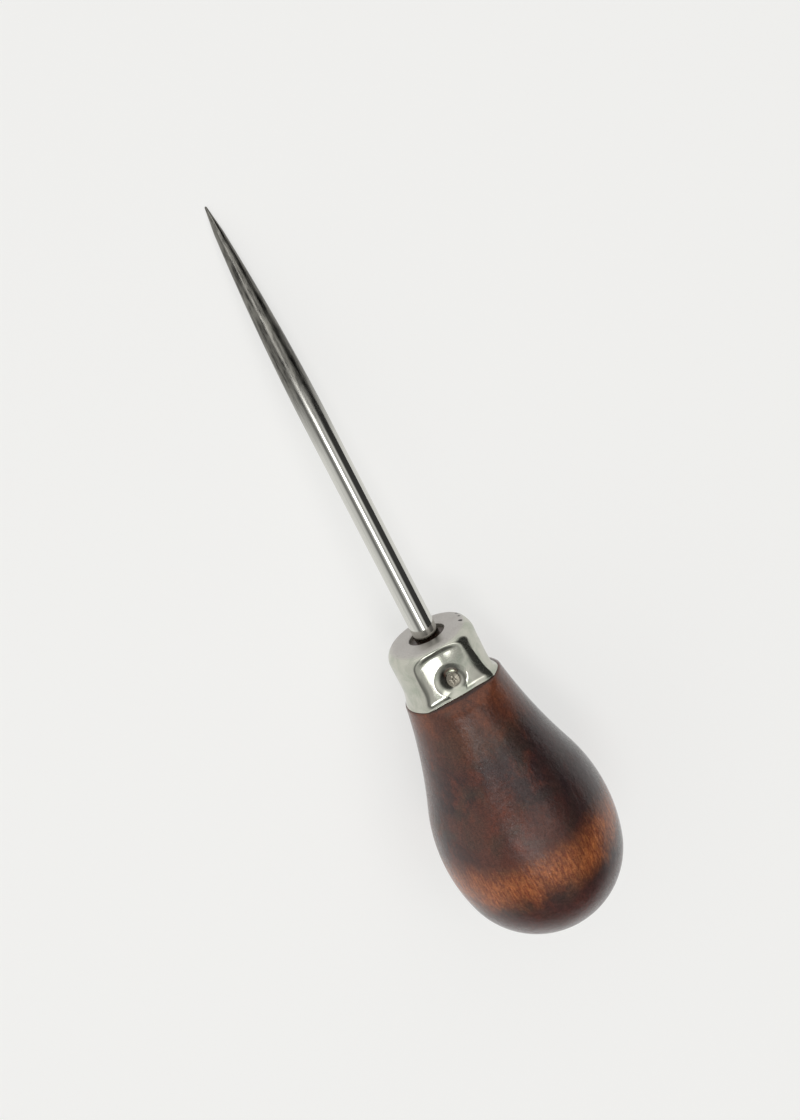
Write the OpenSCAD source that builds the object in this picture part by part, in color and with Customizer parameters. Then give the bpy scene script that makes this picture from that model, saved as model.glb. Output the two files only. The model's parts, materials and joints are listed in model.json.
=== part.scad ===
// Bradawl with a pear-shaped turned handle, a staked drawn ferrule and a round steel blade.
// Each piece is drawn upright about the tool's own axis: zero is the centre of the ferrule's
// face, the point is up and the handle is down. The whole tool is then laid down as it rests
// on a bench, on the pear's shoulder and on its point.

/* [Blade] */
// Diameter of the round shank
shank_d = 4.76; // [4:0.02:5.6]
// Length of the blade from the ferrule's face to the point
blade_out = 89.6; // [70:0.1:120]
// Length over which the shank is ground down to the point
taper_len = 45; // [30:0.5:60]
// Length of the last, steeper cone of the point
point_len = 5; // [3:0.1:8]
// Diameter where that cone starts
point_d = 1.68; // [1.3:0.02:2.2]
// Radius that the sharp end is rounded to
tip_r = 0.2; // [0.1:0.01:0.35]
// Length of the tang inside the handle
tang_len = 38; // [25:0.5:44]
// Width of the shoulder by which the tang is smaller than the shank
tang_shoulder = 0.3; // [0.15:0.05:0.5]
// Width across the tang's flats at its top
tang_top_w = 3.8; // [3.2:0.05:4]
// Width across the tang's flats at its end
tang_end_w = 1.6; // [1:0.05:2.4]

/* [Ferrule] */
// Height of the ferrule
ferrule_h = 11.4; // [10.8:0.1:14]
// Outer diameter of its straight wall
ferrule_d = 17.1; // [15.6:0.1:17.6]
// Outer diameter of its flared rim
rim_d = 18.7; // [18.1:0.1:19]
// Height of the flare above the rim
flare_h = 4.2; // [3:0.1:5]
// Outer radius of the crown, from face to wall
crown_r = 2.5; // [1.6:0.1:3.2]
// Thickness of the sheet that it is drawn from
sheet_t = 0.8; // [0.5:0.05:1.1]
// Diameter of the hole that the shank passes through
ferrule_hole_d = 7; // [6.4:0.1:8]
// Radius of the hole's outer edge
hole_edge_r = 0.4; // [0.2:0.05:0.45]

/* [Stakes] */
// Angle round the ferrule from the first punched stake to the second
stake_apart = 114; // [70:1:180]
// Height of a stake's centre above the rim
stake_up = 3.9; // [3:0.1:4.6]
// Depth to which the wall round a stake is drawn in
dish_depth = 1.4; // [0.8:0.05:1.6]
// Half the height of the drawn-in dish
dish_half_h = 5.6; // [4.6:0.1:6.2]
// Radius of the dish across the ferrule
dish_across_r = 100; // [20:1:150]
// Depth of the punch mark below the ferrule's wall
pit_depth = 2.3; // [1.9:0.05:2.6]
// Diameter to which the punch mark would widen at the wall
pit_mouth_d = 6; // [5:0.1:6.6]
// Diameter of the flat end of the punch
pit_end_d = 3.2; // [2.6:0.1:3.6]

/* [Handle] */
// Length of the wood from the ferrule's rim to the end of the butt
wood_len = 54.9; // [50:0.1:66]
// Greatest diameter of the pear
bulb_d = 34.2; // [33.6:0.1:36]
// Length from the pear's greatest diameter to the end of the butt
bulb_up = 21.2; // [18:0.1:26]
// Radius of the long curve over the pear's shoulder
pear_r = 35; // [30:0.5:42]
// Radius of the hollow curve of the neck
cove_r = 112; // [90:1:140]
// Diameter of the neck at the ferrule's rim
neck_d = 19.1; // [19:0.05:20.4]
// Radius of the softened edge at the end of the neck
neck_edge_r = 0.4; // [0.2:0.05:0.7]

/* [Rest] */
// Angle by which the tool is rolled about its own axis as it lies, which turns the stakes
roll = 5; // [-20:0.5:20]

/* [Fits] */
// Gap between the wood and the ferrule all round
spigot_gap = 0.05; // [0.02:0.01:0.1]
// Gap between the wood and the tang all round
tang_gap = 0.04; // [0.02:0.01:0.1]

/* [Hidden] */

// Fineness of full circles, of turned work and of the long shallow arcs of the outlines.
$fn = 96;
turned_fn = 144;
long_arc_fn = 720;
needle_arc_fn = 3600;
// How far a cutting shape runs past what it cuts.
over = 1;

// Places along the axis.
rim_z = -ferrule_h;
butt_z = rim_z - wood_len;
wood_top_z = -sheet_t - spigot_gap;
tang_end_z = wood_top_z - tang_len;
taper_z = blade_out - taper_len;
cone_z = blade_out - point_len;
tip_z = blade_out - tip_r;

// Ferrule radii, and the arc that flares its wall out to the rim.
wall_r = ferrule_d / 2;
rim_r = rim_d / 2;
face_r = wall_r - crown_r;
flare_out = rim_r - wall_r;
flare_r = (flare_h * flare_h + flare_out * flare_out) / (2 * flare_out);
flare_z = rim_z + flare_h;

// Stakes: the punch comes in square to the axis and draws a dish of wall in with it.
stake_z = rim_z + stake_up;
dish_r = (dish_half_h * dish_half_h + dish_depth * dish_depth) / (2 * dish_depth);
dish_axis_r = wall_r - dish_depth + dish_r;

// Pear outline: the shoulder arc, whose crest is the greatest diameter, the butt's dome and
// the hollow neck. Each pair of arcs is tangent where they meet.
bulb_r = bulb_d / 2;
pear_drop = pear_r - bulb_r;
butt_drop = pear_r - bulb_up;
pear = [-pear_drop, butt_z + bulb_up];
dome_down = (pear_drop * pear_drop - butt_drop * butt_drop) / (2 * butt_drop);
dome = pear + [pear_drop, -dome_down];
dome_r = bulb_up - dome_down;
dome_meet = pear + (dome - pear) * pear_r / norm(dome - pear);
cove = arc_centre([neck_d / 2, rim_z], cove_r, pear, pear_r + cove_r);
cove_meet = pear + (cove - pear) * pear_r / norm(cove - pear);
neck_edge_z = rim_z - neck_edge_r;
neck_top_r = cove[0] - sqrt(pow(cove_r, 2) - pow(neck_edge_z - cove[1], 2));

// Blade: a long arc tangent to the shank, then a cone tangent to the rounded tip.
shank_r = shank_d / 2;
tang_r = shank_r - tang_shoulder;
point_r = point_d / 2;
arc_len = taper_len - point_len;
arc_drop = shank_r - point_r;
needle_arc_r = (arc_len * arc_len + arc_drop * arc_drop) / (2 * arc_drop);
cone_reach = norm([point_r, tip_z - cone_z]);
cone_angle = atan2(point_r, tip_z - cone_z) - asin(tip_r / cone_reach);
tip_meet = [tip_r * cos(cone_angle), tip_z + tip_r * sin(cone_angle)];

// How the tool lies: the angle by which its axis dips towards the point, and where the
// middle of its length and the bench are, measured from the ferrule's face.
pear_reach = tip_z - pear[1];
dip = asin((pear_r - tip_r) / norm([pear_reach, pear_drop])) - atan2(pear_drop, pear_reach);
far_x = tip_z * cos(dip) + tip_r;
near_x = dome[1] * cos(dip) - dome_r;
mid_x = (far_x + near_x) / 2;
bench_z = -tip_z * sin(dip) - tip_r;

// Centre of the arc of radius r that passes through p and whose centre is at distance
// reach from c, on the side away from the axis.
function arc_centre(p, r, c, reach) =
    let (
        gap = c - p,
        far = norm(gap),
        along = (r * r - reach * reach + far * far) / (2 * far),
        across = sqrt(r * r - along * along),
        unit = gap / far
    )
    p + unit * along + [-unit[1], unit[0]] * across;

// The half of a round section between two places on the axis, out to radius reach.
module band(low, high, reach) {
    translate([0, low]) square([reach, high - low]);
}

module disc_at(centre, radius, fineness = $fn) {
    translate(centre) circle(r = radius, $fn = fineness);
}

module turned() {
    rotate_extrude($fn = turned_fn) children();
}

// Lays an upright piece down on the bench, rolled a little to one side.
module lay_down() {
    translate([-mid_x, 0, -bench_z]) rotate([0, 90 + dip, 0]) rotate([0, 0, roll]) children();
}

// Outline of the drawn cup's outside or, inset by the sheet, of what fills it.
module cup_outline(inset, bottom) {
    band(-crown_r, -inset, face_r);
    intersection() {
        disc_at([face_r, -crown_r], crown_r - inset);
        band(-crown_r, -inset, wall_r);
    }
    band(flare_z, -crown_r, wall_r - inset);
    difference() {
        band(bottom, flare_z, rim_r);
        disc_at([wall_r + flare_r, flare_z], flare_r + inset, long_arc_fn);
    }
}

// The hole in the ferrule's face, with its outer edge rounded.
module hole_outline() {
    hole_r = ferrule_hole_d / 2;
    band(-sheet_t - over, over, hole_r);
    difference() {
        band(-hole_edge_r, over, hole_r + hole_edge_r);
        disc_at([hole_r + hole_edge_r, -hole_edge_r], hole_edge_r);
    }
}

// The dish that the wall is drawn into round a stake: a barrel lying across the ferrule.
module dish(grow) {
    translate([-dish_axis_r, 0, stake_z])
        rotate([90, 0, 0])
            turned()
                intersection() {
                    disc_at([dish_r - dish_across_r, 0], dish_across_r + grow, long_arc_fn);
                    band(-rim_r, rim_r, dish_r + grow);
                }
}

// The mark of the punch's tapered end. Its sides are drawn thinner than its floor.
module punch_mark(grow) {
    floor_r = wall_r - pit_depth - grow;
    translate([-floor_r, 0, stake_z])
        rotate([0, -90, 0])
            cylinder(d1 = pit_end_d + grow, d2 = pit_mouth_d + grow, h = pit_depth + grow);
}

// Everything that the stakes drive in, grown for the sheet's inside and for the wood.
module stakes(grow) {
    for (turn = [0, stake_apart])
        rotate([0, 0, turn]) {
            dish(grow);
            punch_mark(grow);
        }
}

module ferrule() {
    color([0.72, 0.72, 0.68])
        difference() {
            turned() cup_outline(0, rim_z);
            difference() {
                turned() cup_outline(sheet_t, rim_z - over);
                stakes(sheet_t);
            }
            stakes(0);
            turned() hole_outline();
        }
}

module pear_outline() {
    intersection() {
        disc_at(dome, dome_r, long_arc_fn);
        band(butt_z, dome_meet[1], bulb_r);
    }
    intersection() {
        disc_at(pear, pear_r, long_arc_fn);
        band(dome_meet[1], cove_meet[1], bulb_r);
    }
    difference() {
        band(cove_meet[1], neck_edge_z, bulb_r);
        disc_at(cove, cove_r, long_arc_fn);
    }
    band(neck_edge_z, rim_z, neck_top_r - neck_edge_r);
    intersection() {
        disc_at([neck_top_r - neck_edge_r, neck_edge_z], neck_edge_r);
        band(neck_edge_z, rim_z, neck_top_r);
    }
}

// The turned spigot fills the ferrule, less the gap, and the stakes bite into it.
module spigot() {
    difference() {
        turned()
            intersection() {
                cup_outline(sheet_t + spigot_gap, rim_z);
                band(rim_z, wood_top_z, rim_r);
            }
        stakes(sheet_t + spigot_gap);
    }
}

// The tang, grown for its hole in the wood: a round bar that tapers between four flats.
module tang(grow) {
    intersection() {
        translate([0, 0, tang_end_z - grow])
            cylinder(r = tang_r + grow, h = tang_len + grow, $fn = turned_fn);
        tang_flats(grow);
        rotate([0, 0, 90]) tang_flats(grow);
    }
}

module tang_flats(grow) {
    top = tang_top_w / 2 + grow;
    end = tang_end_w / 2 + grow;
    rotate([90, 0, 0])
        linear_extrude(height = shank_d * 2, center = true)
            polygon([
                [-end, tang_end_z - grow], [end, tang_end_z - grow],
                [top, wood_top_z], [-top, wood_top_z]
            ]);
}

module handle() {
    color([0.33, 0.15, 0.09])
        difference() {
            union() {
                turned() pear_outline();
                spigot();
            }
            tang(tang_gap);
        }
}

module point_outline() {
    intersection() {
        disc_at([shank_r - needle_arc_r, taper_z], needle_arc_r, needle_arc_fn);
        band(taper_z, cone_z, shank_r);
    }
    polygon([[0, cone_z], [point_r, cone_z], tip_meet, [0, tip_meet[1]]]);
    intersection() {
        disc_at([0, tip_z], tip_r);
        band(tip_meet[1], blade_out, tip_r);
    }
}

module blade() {
    color([0.66, 0.67, 0.68]) {
        tang(0);
        turned() {
            band(wood_top_z, taper_z, shank_r);
            point_outline();
        }
    }
}

lay_down() handle();
lay_down() ferrule();
lay_down() blade();
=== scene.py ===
import json
from math import asin, atan2, cos, exp, hypot, inf, pi, radians, sin, sqrt, tau

import bmesh
import bpy
from mathutils import Matrix, Vector, noise


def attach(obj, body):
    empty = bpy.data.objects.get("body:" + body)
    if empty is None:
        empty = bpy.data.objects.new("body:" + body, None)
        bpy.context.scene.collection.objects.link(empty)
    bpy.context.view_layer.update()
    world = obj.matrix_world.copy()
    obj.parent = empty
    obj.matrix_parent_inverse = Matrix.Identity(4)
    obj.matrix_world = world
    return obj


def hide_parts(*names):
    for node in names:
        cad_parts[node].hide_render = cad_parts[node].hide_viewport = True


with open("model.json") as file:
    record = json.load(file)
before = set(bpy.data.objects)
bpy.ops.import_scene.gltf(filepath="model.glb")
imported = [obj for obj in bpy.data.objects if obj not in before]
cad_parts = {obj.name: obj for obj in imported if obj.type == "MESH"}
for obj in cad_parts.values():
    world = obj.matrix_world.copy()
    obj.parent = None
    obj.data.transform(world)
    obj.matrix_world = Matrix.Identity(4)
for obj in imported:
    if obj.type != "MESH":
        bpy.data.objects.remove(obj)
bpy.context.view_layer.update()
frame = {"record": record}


# Handle
# A pear turned from close-grained hardwood, stained dark reddish brown and lacquered. Its
# spigot, turned in one with it, fills the ferrule, and a hole up the middle holds the tang.

mm = 0.001
# A hair's breadth, within which two places count as one.
hair = 0.01 * mm

# Each piece is shaped upright, with the point up and zero at the centre of the ferrule's face.
# The frame says where that face lies and which way the point looks.
mounts = {mount["name"]: mount for mount in frame["record"]["mounts"]}
point_way = Vector(mounts["shank"]["axis"])
face_centre = Vector(mounts["ferrule_face"]["pos_m"])
face_centre.y = 0
lie = Vector((0, 0, 1)).rotation_difference(point_way)
roll = radians(5)
lying = Matrix.Translation(face_centre) @ lie.to_matrix().to_4x4()
lay_down = lying @ Matrix.Rotation(roll, 4, "Z")

# The spigot follows the inside of the ferrule, and the hole follows the tang.
ferrule_h = 11.4 * mm
ferrule_r = 17.1 / 2 * mm
rim_r = 18.7 / 2 * mm
flare_h = 4.2 * mm
crown_r = 2.5 * mm
sheet = 0.8 * mm
spigot_gap = 0.05 * mm
spigot_r = ferrule_r - sheet - spigot_gap
rim_z = -ferrule_h
wood_top_z = -sheet - spigot_gap

shank_r = 4.76 / 2 * mm
tang_shoulder = 0.3 * mm
tang_r = shank_r - tang_shoulder
tang_len = 38 * mm
tang_top_half = 3.8 / 2 * mm
tang_end_half = 1.6 / 2 * mm
tang_end_z = wood_top_z - tang_len
tang_gap = 0.04 * mm

wood_len = 54.9 * mm
bulb_r = 34.2 / 2 * mm
bulb_up = 21.2 * mm
pear_r = 35 * mm
cove_r = 112 * mm
neck_at_rim = 19.1 / 2 * mm
neck_edge = 0.4 * mm


def arc_centre(through, radius, other, reach):
    """The centre of an arc through one point, whose centre lies at distance reach from another."""
    gap = other - through
    along = (radius**2 - reach**2 + gap.length**2) / (2 * gap.length)
    across = sqrt(radius**2 - along**2)
    unit = gap.normalized()
    return through + unit * along + Vector((-unit.y, unit.x)) * across


# The outline is a dome at the butt, the pear's long arc and the cove of the neck. Each pair of
# arcs is tangent where they meet.
butt_z = rim_z - wood_len
pear_drop = pear_r - bulb_r
butt_drop = pear_r - bulb_up
dome_down = (pear_drop**2 - butt_drop**2) / (2 * butt_drop)
pear = Vector((-pear_drop, butt_z + bulb_up))
dome = pear + Vector((pear_drop, -dome_down))
dome_meet = pear + (dome - pear).normalized() * pear_r
cove = arc_centre(Vector((neck_at_rim, rim_z)), cove_r, pear, pear_r + cove_r)
cove_meet = pear + (cove - pear).normalized() * pear_r
neck_edge_z = rim_z - neck_edge
neck_r = cove.x - sqrt(cove_r**2 - (neck_edge_z - cove.y) ** 2)


def outline_from(x, z):
    """Starts an outline, drawn in the upright piece's own section, at a point on its axis."""
    outline = bmesh.new()
    outline.verts.new((x, 0, z))
    return outline


def last_point(outline):
    outline.verts.ensure_lookup_table()
    return outline.verts[-1]


def line_to(outline, x, z, steps=1):
    start = last_point(outline).co.copy()
    for step in range(1, steps + 1):
        bmesh.ops.extrude_vert_indiv(outline, verts=[last_point(outline)])
        last_point(outline).co = start.lerp(Vector((x, 0, z)), step / steps)


def arc_to(outline, centre, x, z, steps):
    start = last_point(outline).co
    sweep = Vector((start.x - centre[0], start.z - centre[1])).angle_signed(
        Vector((x - centre[0], z - centre[1]))
    )
    bmesh.ops.spin(
        outline, geom=[last_point(outline)], cent=(centre[0], 0, centre[1]), axis=(0, 1, 0),
        angle=sweep, steps=steps, use_merge=False, use_duplicate=False,
    )
    last_point(outline).co = (x, 0, z)


def turn(outline, steps):
    """Spins an outline round the tool's axis into a closed piece."""
    bmesh.ops.spin(
        outline, geom=outline.verts[:] + outline.edges[:], cent=(0, 0, 0), axis=(0, 0, 1),
        angle=tau, steps=steps, use_merge=True, use_duplicate=False,
    )
    bmesh.ops.remove_doubles(outline, verts=outline.verts[:], dist=hair / 100)
    bmesh.ops.recalc_face_normals(outline, faces=outline.faces[:])


def draw_in_flats(piece, gap):
    """Draws the points near the axis, below the wood's top, in to four tapering flats."""
    near = tang_r + 2 * gap
    for vert in piece.verts:
        if vert.co.z < wood_top_z - hair and hypot(vert.co.x, vert.co.y) < near:
            share = (wood_top_z - vert.co.z) / tang_len
            half = tang_top_half + (tang_end_half - tang_top_half) * share + gap
            vert.co.x = max(-half, min(half, vert.co.x))
            vert.co.y = max(-half, min(half, vert.co.y))


# The outside of the drawn cup before it is staked: a rounded crown, a straight wall and an arc
# that flares out to the rim.
crown_corner = (ferrule_r - crown_r, -crown_r)
flare_out = rim_r - ferrule_r
flare_r = (flare_h**2 + flare_out**2) / (2 * flare_out)
flare_centre = (ferrule_r + flare_r, rim_z + flare_h)


def below_skin(radius, z):
    """Depth of a point below the outside of the drawn cup, before it is staked."""
    if z > -crown_r and radius > crown_corner[0]:
        return crown_r - hypot(radius - crown_corner[0], z + crown_r)
    if z > -crown_r:
        return -z
    if z > flare_centre[1]:
        return ferrule_r - radius
    return hypot(flare_centre[0] - radius, flare_centre[1] - z) - flare_r


# The stakes: how far round the ferrule each one is, and its share of the rim's curl. A stake
# is struck square to the axis. It draws in a squarish dish of wall, open at the rim, whose
# floor bulges, and the punch leaves a funnel in that floor with a shallow rough pit in it.
stake_apart = radians(114)
stakes = ((0, 1), (stake_apart, 2.2))
stake_up = 3.9 * mm
stake_z = rim_z + stake_up
dish_depth = 1.45 * mm
dish_half = 6 * mm
dish_top = 6.1 * mm
dish_squareness = 4
dish_flat = 0.9
dish_rise = 0.3 / mm
open_low = 1.5 * mm
open_h = 4 * mm
dish_bulge = 0.021 / mm
dish_twist = 0.053 / mm**2
twist_low = 1 * mm
funnel_depth = 0.95 * mm
funnel_r = 3.7 * mm
funnel_end_r = 1.6 * mm
funnel_left = 0.12
funnel_up = 0.5
funnel_slope = 0.6
pit_depth = 0.06 * mm
pit_r = 1.4 * mm
pit_wall = 0.5 * mm
pit_low = 0.4 * mm
grain_depth = 0.05 * mm
grain_pitch = 2.3 / mm
ring_depth = 0.012 * mm
ring_pitch = 14 / mm
rim_curl = 0.5 * mm
rim_curl_h = 1.4 * mm

# How the rest of the wall answers: the lip round the dish is soft, the rim is drawn up, and
# the neck of the wood gives way less and less over the depth of a dent.
lip = 0.7 * mm
rim_draw = 0.45 * mm
rim_draw_h = 2.2 * mm
dent_h = 1.7 * mm
dents_deep = 2.2
widest_side = 0.7
press_top = 1.3 * dish_top


def held(share):
    """A share, kept between none and all."""
    return min(max(share, 0), 1)


def lesser(a, b, blend):
    """The lesser of two sizes, rounded over where they cross."""
    share = max(blend - abs(a - b), 0) / blend
    return min(a, b) - share * share * blend / 4


def stake_floor(side, up, curl_share):
    """How far out from the tool's axis the punched sheet lies, across and above a stake."""
    across = abs(side) / dish_half
    above = max(up, 0) / dish_top
    out_from_middle = (across**dish_squareness + above**dish_squareness) ** (1 / dish_squareness)
    past_flat = max(out_from_middle - dish_flat, 0) * dish_half
    rise = dish_rise * past_flat**2 * held((up + open_low) / open_h)
    twist = dish_twist * max(up + twist_low, 0) ** 2 if side > 0 else 0
    bulge = dish_bulge * side**2 * (1 - twist)
    off = hypot(side, up + pit_low) + hair / 10
    funnel_reach = funnel_r * (1 + funnel_left * (funnel_up * up - side) / off)
    share = held((funnel_reach - off) / (funnel_reach - funnel_end_r))
    funnel = funnel_depth * share * (funnel_slope + (1 - funnel_slope) * share)
    grain = noise.noise(Vector((side, up, 0)) * grain_pitch) * grain_depth
    rings = cos(off * ring_pitch) * ring_depth
    pit = (pit_depth - grain - rings) * held((pit_r - off) / pit_wall)
    curl = max(1 - (up + stake_z - rim_z) / rim_curl_h, 0) ** 2 * rim_curl * curl_share
    return ferrule_r - dish_depth + rise - bulge - funnel - pit + curl


def drive_stakes(piece, neck_from=inf):
    """Drives the stakes into a cup or what fills it. Each point keeps its depth in the wall.

    At the rim and below it, whatever lies further out than neck_from is the neck of the wood.
    """
    for vert in piece.verts:
        x, y, z = vert.co
        inset = below_skin(hypot(x, y), z)
        below = max(rim_z - z, 0) / dent_h
        if below > dents_deep or inset > 2 * sheet:
            continue
        in_neck = z < rim_z + hair and hypot(x, y) > neck_from
        for stake_turn, curl_share in stakes:
            out = -x * cos(stake_turn) - y * sin(stake_turn)
            side = x * sin(stake_turn) - y * cos(stake_turn)
            up = z - stake_z
            if out < abs(side) * widest_side or up > press_top:
                continue
            radius = hypot(out, side)
            floor = (stake_floor(side, up, curl_share) - inset) * radius / out
            pressed = lesser(radius, floor, lip)
            if in_neck:
                pressed = radius - (radius - pressed) * exp(-below * below)
            x, y = x * pressed / radius, y * pressed / radius
            near_rim = exp(-(((z - rim_z) / rim_draw_h) ** 2))
            z += rim_draw * held((radius - pressed) / dish_depth) * near_rim
        vert.co = (x, y, z)


wood = outline_from(0, butt_z)
arc_to(wood, dome, dome_meet.x, dome_meet.y, 40)
arc_to(wood, pear, cove_meet.x, cove_meet.y, 48)
arc_to(wood, cove, neck_r, neck_edge_z, 48)
arc_to(wood, (neck_r - neck_edge, neck_edge_z), neck_r - neck_edge, rim_z, 6)
line_to(wood, spigot_r, rim_z, 4)
line_to(wood, spigot_r, -crown_r, 36)
arc_to(wood, crown_corner, crown_corner[0], wood_top_z, 6)
line_to(wood, tang_r + tang_gap, wood_top_z, 12)
line_to(wood, tang_r + tang_gap, tang_end_z - tang_gap, 24)
line_to(wood, 0, tang_end_z - tang_gap)
turn(wood, 216)
# This squares the hole. It also draws in the middle of the butt, to a nib 0.14 mm high.
draw_in_flats(wood, tang_gap)
drive_stakes(wood, spigot_r + hair)


def finished(name, piece, crease):
    """Lays an upright piece down as it rests on the bench, in its mesh, and makes it an object."""
    bmesh.ops.transform(piece, matrix=lay_down, verts=piece.verts[:])
    mesh = bpy.data.meshes.new(name)
    piece.to_mesh(mesh)
    piece.free()
    mesh.shade_smooth()
    mesh.set_sharp_from_angle(angle=radians(crease))
    made = bpy.data.objects.new(name, mesh)
    bpy.context.scene.collection.objects.link(made)
    return made


turned_handle = finished("turned_handle", wood, 40)
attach(turned_handle, "root")
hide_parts("handle")


def put(tree, kind, options={}, **inputs):
    """Adds a shader node, sets its options, and sets or links its inputs by name."""
    made = tree.nodes.new("ShaderNode" + kind)
    for name, value in options.items():
        setattr(made, name, value)
    for name, value in inputs.items():
        feed(tree, made.inputs[name.replace("_", " ")], value)
    return made


def feed(tree, socket, value):
    if isinstance(value, bpy.types.NodeSocket):
        tree.links.new(value, socket)
    else:
        socket.default_value = value


def maths(tree, operation, *values):
    made = tree.nodes.new("ShaderNodeMath")
    made.operation = operation
    for socket, value in zip(made.inputs, values):
        feed(tree, socket, value)
    return made.outputs[0]


def mixed(tree, share, a, b, way="MIX"):
    made = tree.nodes.new("ShaderNodeMix")
    made.data_type = "RGBA"
    made.blend_type = way
    for index, value in ((0, share), (6, a), (7, b)):
        feed(tree, made.inputs[index], value)
    return made.outputs[2]


def dimmed(tree, colour, value):
    """A colour times a value that is about one."""
    grey = put(tree, "CombineColor", Red=value, Green=value, Blue=value).outputs[0]
    return mixed(tree, 1.0, colour, grey, "MULTIPLY")


def eased(tree, value, low, high, to_low=0.0, to_high=1.0):
    made = put(tree, "MapRange", {"interpolation_type": "SMOOTHSTEP"}, Value=value,
               From_Min=low, From_Max=high, To_Min=to_low, To_Max=to_high)
    return made.outputs[0]


def noisy(tree, place, scale, detail=4.0, roughness=0.55, distortion=0.0, stretch=(1, 1, 1)):
    """Noise in cycles per millimetre, stretched along the tool's own axes."""
    fitted = put(tree, "Mapping", Vector=place, Scale=tuple(scale * share for share in stretch))
    made = put(tree, "TexNoise", Vector=fitted.outputs[0], Scale=1.0, Detail=detail,
               Roughness=roughness, Distortion=distortion)
    return made.outputs["Fac"]


def paint(*shade):
    """A colour written as it shows on the screen, from 0 to 255, for a shader's socket."""
    def linear(part):
        share = part / 255
        return share / 12.92 if share <= 0.04045 else ((share + 0.055) / 1.055) ** 2.4
    return (*[linear(part) for part in shade], 1.0)


def group(name, ins, outs):
    """Starts a node group whose inputs and outputs have the names, kinds and values given."""
    tree = bpy.data.node_groups.new(name, "ShaderNodeTree")
    for title, kind, value in ins:
        socket = tree.interface.new_socket(title, in_out="INPUT", socket_type="NodeSocket" + kind)
        if value is not None:
            socket.default_value = value
    for title, kind in outs:
        tree.interface.new_socket(title, in_out="OUTPUT", socket_type="NodeSocket" + kind)
    return tree, tree.nodes.new("NodeGroupInput").outputs, tree.nodes.new("NodeGroupOutput").inputs


def use_group(tree, made, **inputs):
    used = tree.nodes.new("ShaderNodeGroup")
    used.node_tree = made
    for name, value in inputs.items():
        feed(tree, used.inputs[name.replace("_", " ")], value)
    return used.outputs


def stood_up(tree):
    """Where a point of the lying piece is on the upright tool, in millimetres."""
    spot = put(tree, "TexCoord").outputs["Object"]
    upright = put(tree, "Mapping", {"vector_type": "TEXTURE"}, Vector=spot,
                  Location=tuple(face_centre), Rotation=tuple(lie.to_euler()), Scale=(mm, mm, mm))
    return upright.outputs[0]


# A point's place on the upright tool and how far along the axis it is, in millimetres. Wrapped
# is the same at any distance from the axis, for marks that run along the tool.
tool_place, _, out = group("tool_place", [], [
    ("Place", "Vector"), ("Along", "Float"), ("Wrapped", "Vector"),
])
on_tool = stood_up(tool_place)
parts = put(tool_place, "SeparateXYZ", Vector=on_tool).outputs
turned_by = maths(tool_place, "ARCTAN2", parts["Y"], parts["X"])
tool_place.links.new(on_tool, out["Place"])
tool_place.links.new(parts["Z"], out["Along"])
wrapped = put(tool_place, "CombineXYZ", X=maths(tool_place, "COSINE", turned_by),
              Y=maths(tool_place, "SINE", turned_by),
              Z=maths(tool_place, "MULTIPLY", parts["Z"], 0.1))
tool_place.links.new(wrapped.outputs[0], out["Wrapped"])


def material(name):
    made = bpy.data.materials.new(name)
    made.use_nodes = True
    shader = made.node_tree.nodes["Principled BSDF"]
    return made, made.node_tree, shader.inputs


stained_wood, tree, shader = material("stained_wood")
at = use_group(tree, tool_place)
place, along = at["Place"], at["Along"]
cloudy = noisy(tree, place, 0.11, 5.0, 0.6, 0.8, (1, 1, 0.75))
blotch = noisy(tree, place, 0.3, 5.0, 0.62, 0.5, (1, 1, 0.6))
grain = noisy(tree, place, 1.6, 4.0, 0.6, 0.15, (1, 1, 0.05))
fleck = noisy(tree, place, 2.6, 3.0, 0.6, 0.1, (1, 1, 0.22))
speck = noisy(tree, place, 4.5, 2.0, 0.6)
grit = noisy(tree, place, 1.9, 4.0, 0.7, 0.4)

# The stain: dark brown with redder and greener clouds, and warmer where it thins out towards
# the ferrule. Painted shade darkens it down one side, away from the ferrule.
brown = mixed(tree, eased(tree, cloudy, 0.36, 0.66), paint(56, 34, 33), paint(90, 51, 41))
brown = mixed(tree, eased(tree, blotch, 0.47, 0.7, 0.0, 0.7), brown, paint(112, 58, 42))
green = eased(tree, noisy(tree, place, 0.16, 3.0, 0.5, 0.4), 0.46, 0.68, 0.0, 0.5)
brown = mixed(tree, green, brown, paint(68, 58, 48))
sides = put(tree, "SeparateXYZ", Vector=place).outputs
# Painted shade: darker down one side of the handle's body, where less light falls.
painted_side_shade = maths(tree, "MULTIPLY", eased(tree, sides["Y"], -2.0, -11.0, 0.0, 0.75),
               eased(tree, along, -14.0, -24.0))
brown = mixed(tree, painted_side_shade, brown, paint(42, 27, 30))
near_ferrule = eased(tree, along, -25.0, -12.0)
warm = maths(tree, "MULTIPLY", near_ferrule, eased(tree, blotch, 0.3, 0.7, 0.3, 0.8))
brown = mixed(tree, warm, brown, paint(122, 68, 42))

# The pale amber band that is left round the bulb, its edges straying with the clouds, and the
# redder butt beyond it.
band_foot, band_full, band_fades, band_top = -54.0, -48.0, -46.5, -39.5
wander = maths(tree, "MULTIPLY_ADD", maths(tree, "SUBTRACT", cloudy, 0.5), 9.0, along)
band = maths(tree, "MULTIPLY", eased(tree, wander, band_foot, band_full),
             eased(tree, wander, band_top, band_fades))
band = maths(tree, "MULTIPLY", band, eased(tree, blotch, 0.3, 0.6, 0.6, 1.0))
amber = mixed(tree, eased(tree, fleck, 0.34, 0.68), paint(136, 70, 41), paint(184, 110, 63))
brown = mixed(tree, band, brown, amber)
butt = eased(tree, wander, -52.0, -57.0)
brown = mixed(tree, maths(tree, "MULTIPLY", butt, 0.7), brown, paint(84, 46, 43))

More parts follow.
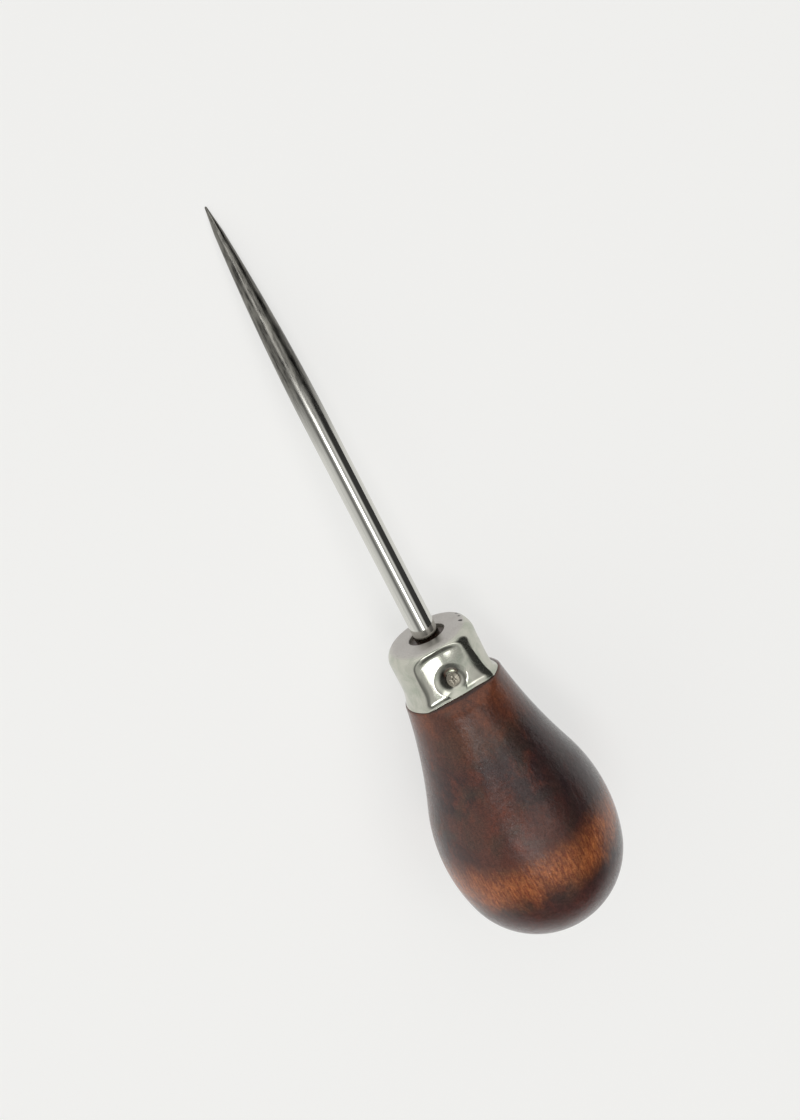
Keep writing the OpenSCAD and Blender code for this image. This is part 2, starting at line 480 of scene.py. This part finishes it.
# The dark joint under the ferrule's rim, then the grain and the grit over everything.
joint = rim_z / mm
joint_half = 0.2
in_joint = eased(tree, along, joint - joint_half, joint + joint_half, 0.0, 0.75)
brown = mixed(tree, in_joint, brown, paint(34, 22, 22))
brown = dimmed(tree, brown, eased(tree, grain, 0.3, 0.7, 0.88, 1.08))
dots = maths(tree, "MULTIPLY", eased(tree, speck, 0.3, 0.7, 0.76, 1.2),
             eased(tree, grit, 0.3, 0.7, 0.76, 1.2))
tree.links.new(dimmed(tree, brown, dots), shader["Base Color"])
tree.links.new(eased(tree, blotch, 0.3, 0.7, 0.42, 0.6), shader["Roughness"])
shader["IOR"].default_value = 1.22
pores = maths(tree, "ADD", maths(tree, "MULTIPLY", grain, 0.6), maths(tree, "MULTIPLY", speck, 0.4))
relief = put(tree, "Bump", Strength=0.35, Distance=0.05 * mm, Height=pores)
tree.links.new(relief.outputs[0], shader["Normal"])

# The lacquer is a satin coat that lies in shallow dimples over the wood.
shader["Coat Weight"].default_value = 1.0
shader["Coat Roughness"].default_value = 0.2
shader["Coat IOR"].default_value = 1.4
dimples = noisy(tree, stood_up(tree), 0.8, 5.0, 0.7, 0.3)
lacquer = put(tree, "Bump", Strength=0.7, Distance=0.2 * mm, Height=dimples)
tree.links.new(lacquer.outputs[0], shader["Coat Normal"])
turned_handle.data.materials.append(stained_wood)


# Ferrule
# A cup drawn from thin sheet and nickel plated. It is pressed over the spigot, and two punched
# stakes drive its wall into the wood, drawing a dish of wall and the rim in with them.

hole_r = 3.5 * mm
hole_edge = 0.4 * mm
rim_lip = 0.18 * mm
rim_in = 0.02 * mm

cup = outline_from(hole_r, -sheet)
line_to(cup, hole_r, -hole_edge, 3)
arc_to(cup, (hole_r + hole_edge, -hole_edge), hole_r + hole_edge, 0, 8)
line_to(cup, crown_corner[0], 0, 14)
arc_to(cup, crown_corner, ferrule_r, -crown_r, 28)
line_to(cup, ferrule_r, flare_centre[1], 32)
arc_to(cup, flare_centre, rim_r - rim_in, rim_z + rim_lip, 30)
arc_to(cup, (rim_r - rim_lip, rim_z + rim_lip), rim_r - rim_lip, rim_z, 6)
line_to(cup, rim_r - sheet, rim_z, 4)
arc_to(cup, flare_centre, ferrule_r - sheet, flare_centre[1], 26)
line_to(cup, ferrule_r - sheet, -crown_r, 28)
arc_to(cup, crown_corner, crown_corner[0], -sheet, 8)
line_to(cup, hole_r, -sheet, 6)
turn(cup, 360)
drive_stakes(cup)

staked_ferrule = finished("staked_ferrule", cup, 50)
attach(staked_ferrule, "root")
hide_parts("ferrule")

# Fine marks of handling: thin scratches that run every way, strongest where Amount is high.
scuffs, given, out = group("scuffs", [("Place", "Vector", None), ("Amount", "Float", 0.5)],
                           [("Mask", "Float")])
marks = []
for number, (lean, size) in enumerate(((0.4, 0.9), (1.5, 1.3), (2.6, 0.7))):
    leaned = put(scuffs, "Mapping", Vector=given["Place"], Rotation=(lean, lean * 0.7, lean),
                 Location=(number * 7.0, 0, 0), Scale=(size, size * 0.05, size))
    line = put(scuffs, "TexNoise", Vector=leaned.outputs[0], Scale=2.2, Detail=2.0)
    thin = maths(scuffs, "ABSOLUTE", maths(scuffs, "SUBTRACT", line.outputs["Fac"], 0.5))
    marks.append(eased(scuffs, thin, 0.004, 0.0))
where = noisy(scuffs, given["Place"], 0.35, 2.0)
strongest = maths(scuffs, "MAXIMUM", maths(scuffs, "MAXIMUM", marks[0], marks[1]), marks[2])
patchy = maths(scuffs, "MULTIPLY", strongest, eased(scuffs, where, 0.42, 0.6))
scuffs.links.new(maths(scuffs, "MULTIPLY", patchy, given["Amount"]), out["Mask"])

# The plating is a slightly green grey. On the face it is duller and mottled.
nickel_plate, tree, shader = material("nickel_plate")
at = use_group(tree, tool_place)
smudge = noisy(tree, at["Place"], 0.35, 4.0, 0.6, 0.6)
fine = noisy(tree, at["Place"], 3.0, 3.0, 0.6)
scratch = use_group(tree, scuffs, Place=at["Place"], Amount=0.8)["Mask"]
plate = mixed(tree, eased(tree, smudge, 0.35, 0.7), paint(200, 199, 188), paint(180, 184, 171))
on_face = eased(tree, at["Along"], -0.7, -0.1)
mottled = mixed(tree, fine, paint(172, 168, 164), paint(206, 202, 198))
plate = mixed(tree, on_face, plate, mottled)

# The first stake's pit, where the punch has bruised the plating.
bruise_r = 1.5
bruise_edge = 0.2
struck = put(tree, "Mapping", {"vector_type": "TEXTURE"}, Vector=at["Place"],
             Location=(0, 0, (stake_z - pit_low) / mm), Rotation=(0, 0, roll))
over_pit = put(tree, "SeparateXYZ", Vector=struck.outputs[0]).outputs
off_pit = put(tree, "CombineXYZ", Y=over_pit["Y"], Z=over_pit["Z"]).outputs[0]
off_pit = put(tree, "VectorMath", {"operation": "LENGTH"}, Vector=off_pit).outputs["Value"]
in_pit = maths(tree, "MULTIPLY", eased(tree, off_pit, bruise_r + bruise_edge, bruise_r - bruise_edge),
               eased(tree, over_pit["X"], 0.0, -1.0))
plate = mixed(tree, in_pit, plate, paint(132, 127, 116))
plate = mixed(tree, maths(tree, "MULTIPLY", scratch, 0.35), plate, paint(120, 118, 112))

# Three small ragged nicks at the edge of the face: where each is, and its radius.
nicks = (((2.4, -6.7, -0.4), 0.3), ((-1.5, -6.7, -0.1), 0.34), ((0.6, -6.8, -0.2), 0.2))
nick_rag = 0.3
nick_edge = 0.1
for nick, size in nicks:
    from_nick = put(tree, "VectorMath", {"operation": "DISTANCE"}, Vector=at["Place"])
    from_nick.inputs[1].default_value = nick
    ragged = maths(tree, "MULTIPLY_ADD", fine, nick_rag, from_nick.outputs["Value"])
    nick_r = size + nick_rag / 2
    in_nick = eased(tree, ragged, nick_r + nick_edge, nick_r)
    plate = mixed(tree, in_nick, plate, paint(60, 58, 58))
tree.links.new(plate, shader["Base Color"])
shader["Metallic"].default_value = 1.0
dull = eased(tree, smudge, 0.3, 0.75, 0.1, 0.2)
dull = maths(tree, "MULTIPLY_ADD", on_face, 0.22, dull)
dull = maths(tree, "MULTIPLY_ADD", in_pit, 0.14, dull)
tree.links.new(maths(tree, "MULTIPLY_ADD", scratch, 0.25, dull), shader["Roughness"])
height = maths(tree, "SUBTRACT", maths(tree, "MULTIPLY", fine, 0.3), scratch)
relief = put(tree, "Bump", Strength=0.12, Distance=0.01 * mm, Height=height)
tree.links.new(relief.outputs[0], shader["Normal"])
staked_ferrule.data.materials.append(nickel_plate)


# Blade
# Round tool steel, polished on the shank and ground to a long needle taper with a steeper point.
# Its other end is filed to a square tang, and is driven into the handle up to its shoulder.

blade_out = 89.6 * mm
taper_len = 45 * mm
point_len = 5 * mm
point_r = 1.68 / 2 * mm
tip_r = 0.2 * mm
shoulder_h = 0.02 * mm

# The taper is a long arc, tangent to the shank. The point is a cone, tangent to the rounded tip.
taper_z = blade_out - taper_len
cone_z = blade_out - point_len
tip_z = blade_out - tip_r
arc_len = taper_len - point_len
arc_drop = shank_r - point_r
needle_r = (arc_len**2 + arc_drop**2) / (2 * arc_drop)
needle_centre = (shank_r - needle_r, taper_z)
cone_reach = hypot(point_r, tip_z - cone_z)
cone_angle = atan2(point_r, tip_z - cone_z) - asin(tip_r / cone_reach)
tip_meet = (tip_r * cos(cone_angle), tip_z + tip_r * sin(cone_angle))

steel = outline_from(0, tang_end_z)
line_to(steel, tang_r, tang_end_z, 2)
line_to(steel, tang_r, wood_top_z - shoulder_h, 24)
line_to(steel, tang_r, wood_top_z)
line_to(steel, shank_r, wood_top_z)
line_to(steel, shank_r, taper_z, 60)
arc_to(steel, needle_centre, point_r, cone_z, 60)
line_to(steel, tip_meet[0], tip_meet[1], 10)
arc_to(steel, (0, tip_z), 0, tip_z + tip_r, 8)
turn(steel, 96)
# Only the points that rounding puts inside the tang's radius are drawn in, so the tang is
# uneven here. The handle hides it.
draw_in_flats(steel, 0)
steel_blade = finished("steel_blade", steel, 30)
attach(steel_blade, "root")
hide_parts("blade")

# Bright drawn steel on the shank, and dark stoned steel from where the taper begins. Where the
# blade leaves the ferrule its colour is darkened with painted shade.
ground_steel, tree, shader = material("ground_steel")
at = use_group(tree, tool_place)
along = at["Along"]
drawn = noisy(tree, at["Wrapped"], 26.0, 3.0, 0.6, 0.0, (1, 1, 0.03))
ground = noisy(tree, at["Place"], 2.2, 4.0, 0.65, 0.2, (1, 1, 0.12))
mottle = noisy(tree, at["Place"], 0.45, 5.0, 0.65, 0.5, (1, 1, 0.35))
stray = maths(tree, "MULTIPLY_ADD", maths(tree, "SUBTRACT", mottle, 0.5), 10.0, along)
stoned_from, stoned_full = 36.0, 58.0
taper = eased(tree, stray, stoned_from, stoned_full)
bright = mixed(tree, eased(tree, drawn, 0.3, 0.7), paint(205, 205, 200), paint(222, 221, 214))
dark = mixed(tree, eased(tree, ground, 0.35, 0.65), paint(74, 73, 70), paint(132, 130, 124))
dark = mixed(tree, eased(tree, mottle, 0.45, 0.65, 0.0, 0.5), dark, paint(156, 154, 147))
steel_shade = mixed(tree, taper, bright, dark)
# Painted shade: the blade is darker over its last 2.4 mm before the ferrule.
painted_base_shade_top = 2.4
painted_base_shade = eased(tree, along, painted_base_shade_top, 0.0, 0.0, 0.6)
steel_shade = mixed(tree, painted_base_shade, steel_shade, paint(120, 114, 110))
tree.links.new(steel_shade, shader["Base Color"])
shader["Metallic"].default_value = 1.0
polish = eased(tree, drawn, 0.3, 0.7, 0.05, 0.09)
stoned = eased(tree, ground, 0.3, 0.7, 0.24, 0.42)
rough = maths(tree, "ADD", maths(tree, "MULTIPLY", polish, maths(tree, "SUBTRACT", 1.0, taper)),
              maths(tree, "MULTIPLY", stoned, taper))
tree.links.new(rough, shader["Roughness"])
lines = maths(tree, "ADD", maths(tree, "MULTIPLY", drawn, 0.25),
              maths(tree, "MULTIPLY", ground, taper))
relief = put(tree, "Bump", Strength=0.3, Distance=0.01 * mm, Height=lines)
tree.links.new(relief.outputs[0], shader["Normal"])
steel_blade.data.materials.append(ground_steel)


# Floor, light and camera
# A wide pale table top under one soft lamp overhead, in a round pale room. The room's dark
# card and bright pane are what the polished metal mirrors as its black edge and its glint.

floor_half = 3.0
top = bmesh.new()
bmesh.ops.create_grid(top, x_segments=1, y_segments=1, size=floor_half)
floor_mesh = bpy.data.meshes.new("table_top")
top.to_mesh(floor_mesh)
top.free()
table_top = bpy.data.objects.new("table_top", floor_mesh)
bpy.context.scene.collection.objects.link(table_top)

# The camera and the metal see the floor paler than it is. It lights the tool as it is.
floor_white = 0.62
pale, tree, shader = material("pale_table")
shader["Base Color"].default_value = paint(248, 247, 244)
shader["Roughness"].default_value = 0.7
shader["Specular IOR Level"].default_value = 0.2
rays = put(tree, "LightPath").outputs
seen = maths(tree, "MAXIMUM", rays["Is Camera Ray"], rays["Is Glossy Ray"])
white = put(tree, "Emission", Color=(1, 1, 0.99, 1), Strength=1.0).outputs[0]
paler = put(tree, "MixShader", Fac=maths(tree, "MULTIPLY", seen, floor_white))
tree.links.new(tree.nodes["Principled BSDF"].outputs[0], paler.inputs[1])
tree.links.new(white, paler.inputs[2])
tree.links.new(paler.outputs[0], tree.nodes["Material Output"].inputs["Surface"])
floor_mesh.materials.append(pale)

lamp_way = Vector((-0.12, 0.165, 0.98)).normalized()
lamp_far = 0.7
lamp = bpy.data.lights.new("overhead_box", "AREA")
lamp.shape = "RECTANGLE"
lamp.size = 0.45
lamp.size_y = 0.13
lamp.energy = 0.85
overhead_box = bpy.data.objects.new("overhead_box", lamp)
overhead_box.location = lamp_way * lamp_far
overhead_box.rotation_euler = lamp_way.to_track_quat("Z", "Y").to_euler()
bpy.context.scene.collection.objects.link(overhead_box)

# The room's walls: how light they are at each swing round the tool, in degrees from overhead,
# where more is further to the right. Past the point the room is white.
room_parts = (
    (-100, 0.82), (-64, 0.74), (-54, 0.58), (-42, 0.2), (-30, 0.26), (-22, 0.56), (3, 0.6),
    (6, 0.54), (15, 0.54), (21, 0.9), (27, 0.75), (37, 0.05), (92, 0.05), (102, 0.28), (130, 0.6),
)
world = bpy.data.worlds.new("pale_room")
bpy.context.scene.world = world
world.use_nodes = True
sky = world.node_tree
way = put(sky, "TexCoord").outputs["Generated"]
way_parts = put(sky, "SeparateXYZ", Vector=way).outputs
swing = maths(sky, "ARCTAN2", maths(sky, "MULTIPLY", way_parts["Y"], -1.0), way_parts["Z"])
lean = maths(sky, "MULTIPLY_ADD", way_parts["X"], 0.3, 0.113)
round_room = put(sky, "MapRange", Value=maths(sky, "SUBTRACT", swing, lean),
                 From_Min=-pi, From_Max=pi).outputs[0]
walls = put(sky, "ValToRGB", Fac=round_room)
stops = walls.color_ramp.elements
for turned_to, light in room_parts[2:]:
    stops.new((turned_to + 180) / 360)
for stop, (turned_to, light) in zip(stops, room_parts):
    stop.position = (turned_to + 180) / 360
    stop.color = (light, light, light * 0.98, 1)
past_point = eased(sky, way_parts["X"], 0.45, 0.8)
room = mixed(sky, past_point, walls.outputs[0], (1.0, 1.0, 0.98, 1))

# The bright pane: its ends along the tool, and its two edges round it.
pane = maths(sky, "MULTIPLY", eased(sky, way_parts["X"], -0.08, 0.05),
             eased(sky, way_parts["X"], 0.42, 0.3))
pane = maths(sky, "MULTIPLY", pane, eased(sky, swing, radians(6), radians(12)))
pane = maths(sky, "MULTIPLY", pane, eased(sky, swing, radians(36), radians(30)))
room = mixed(sky, pane, room, (2.2, 2.2, 2.15, 1))

# The room has a dark doorway high over the point, and is dim past the butt.
doorway = (0.49, 0, 0.87)
toward_door = put(sky, "VectorMath", {"operation": "DOT_PRODUCT"}, Vector=way)
toward_door.inputs[1].default_value = doorway
in_doorway = eased(sky, toward_door.outputs["Value"], 0.965, 0.99, 1.0, 0.15)
behind_butt = eased(sky, way_parts["X"], -0.55, -0.8, 1.0, 0.25)
back = sky.nodes["Background"]
sky.links.new(room, back.inputs["Color"])
sky.links.new(maths(sky, "MULTIPLY", in_doorway, behind_butt), back.inputs["Strength"])

camera_lens = bpy.data.cameras.new("camera")
camera_lens.lens = 87.75
camera = bpy.data.objects.new("camera", camera_lens)
camera.location = (0.24662904, 0.0, 0.43975142)
camera.rotation_euler = (radians(-26.561), radians(-13.24), radians(-114.159))
bpy.context.scene.collection.objects.link(camera)
bpy.context.scene.camera = camera
bpy.context.scene.view_settings.view_transform = "Standard"
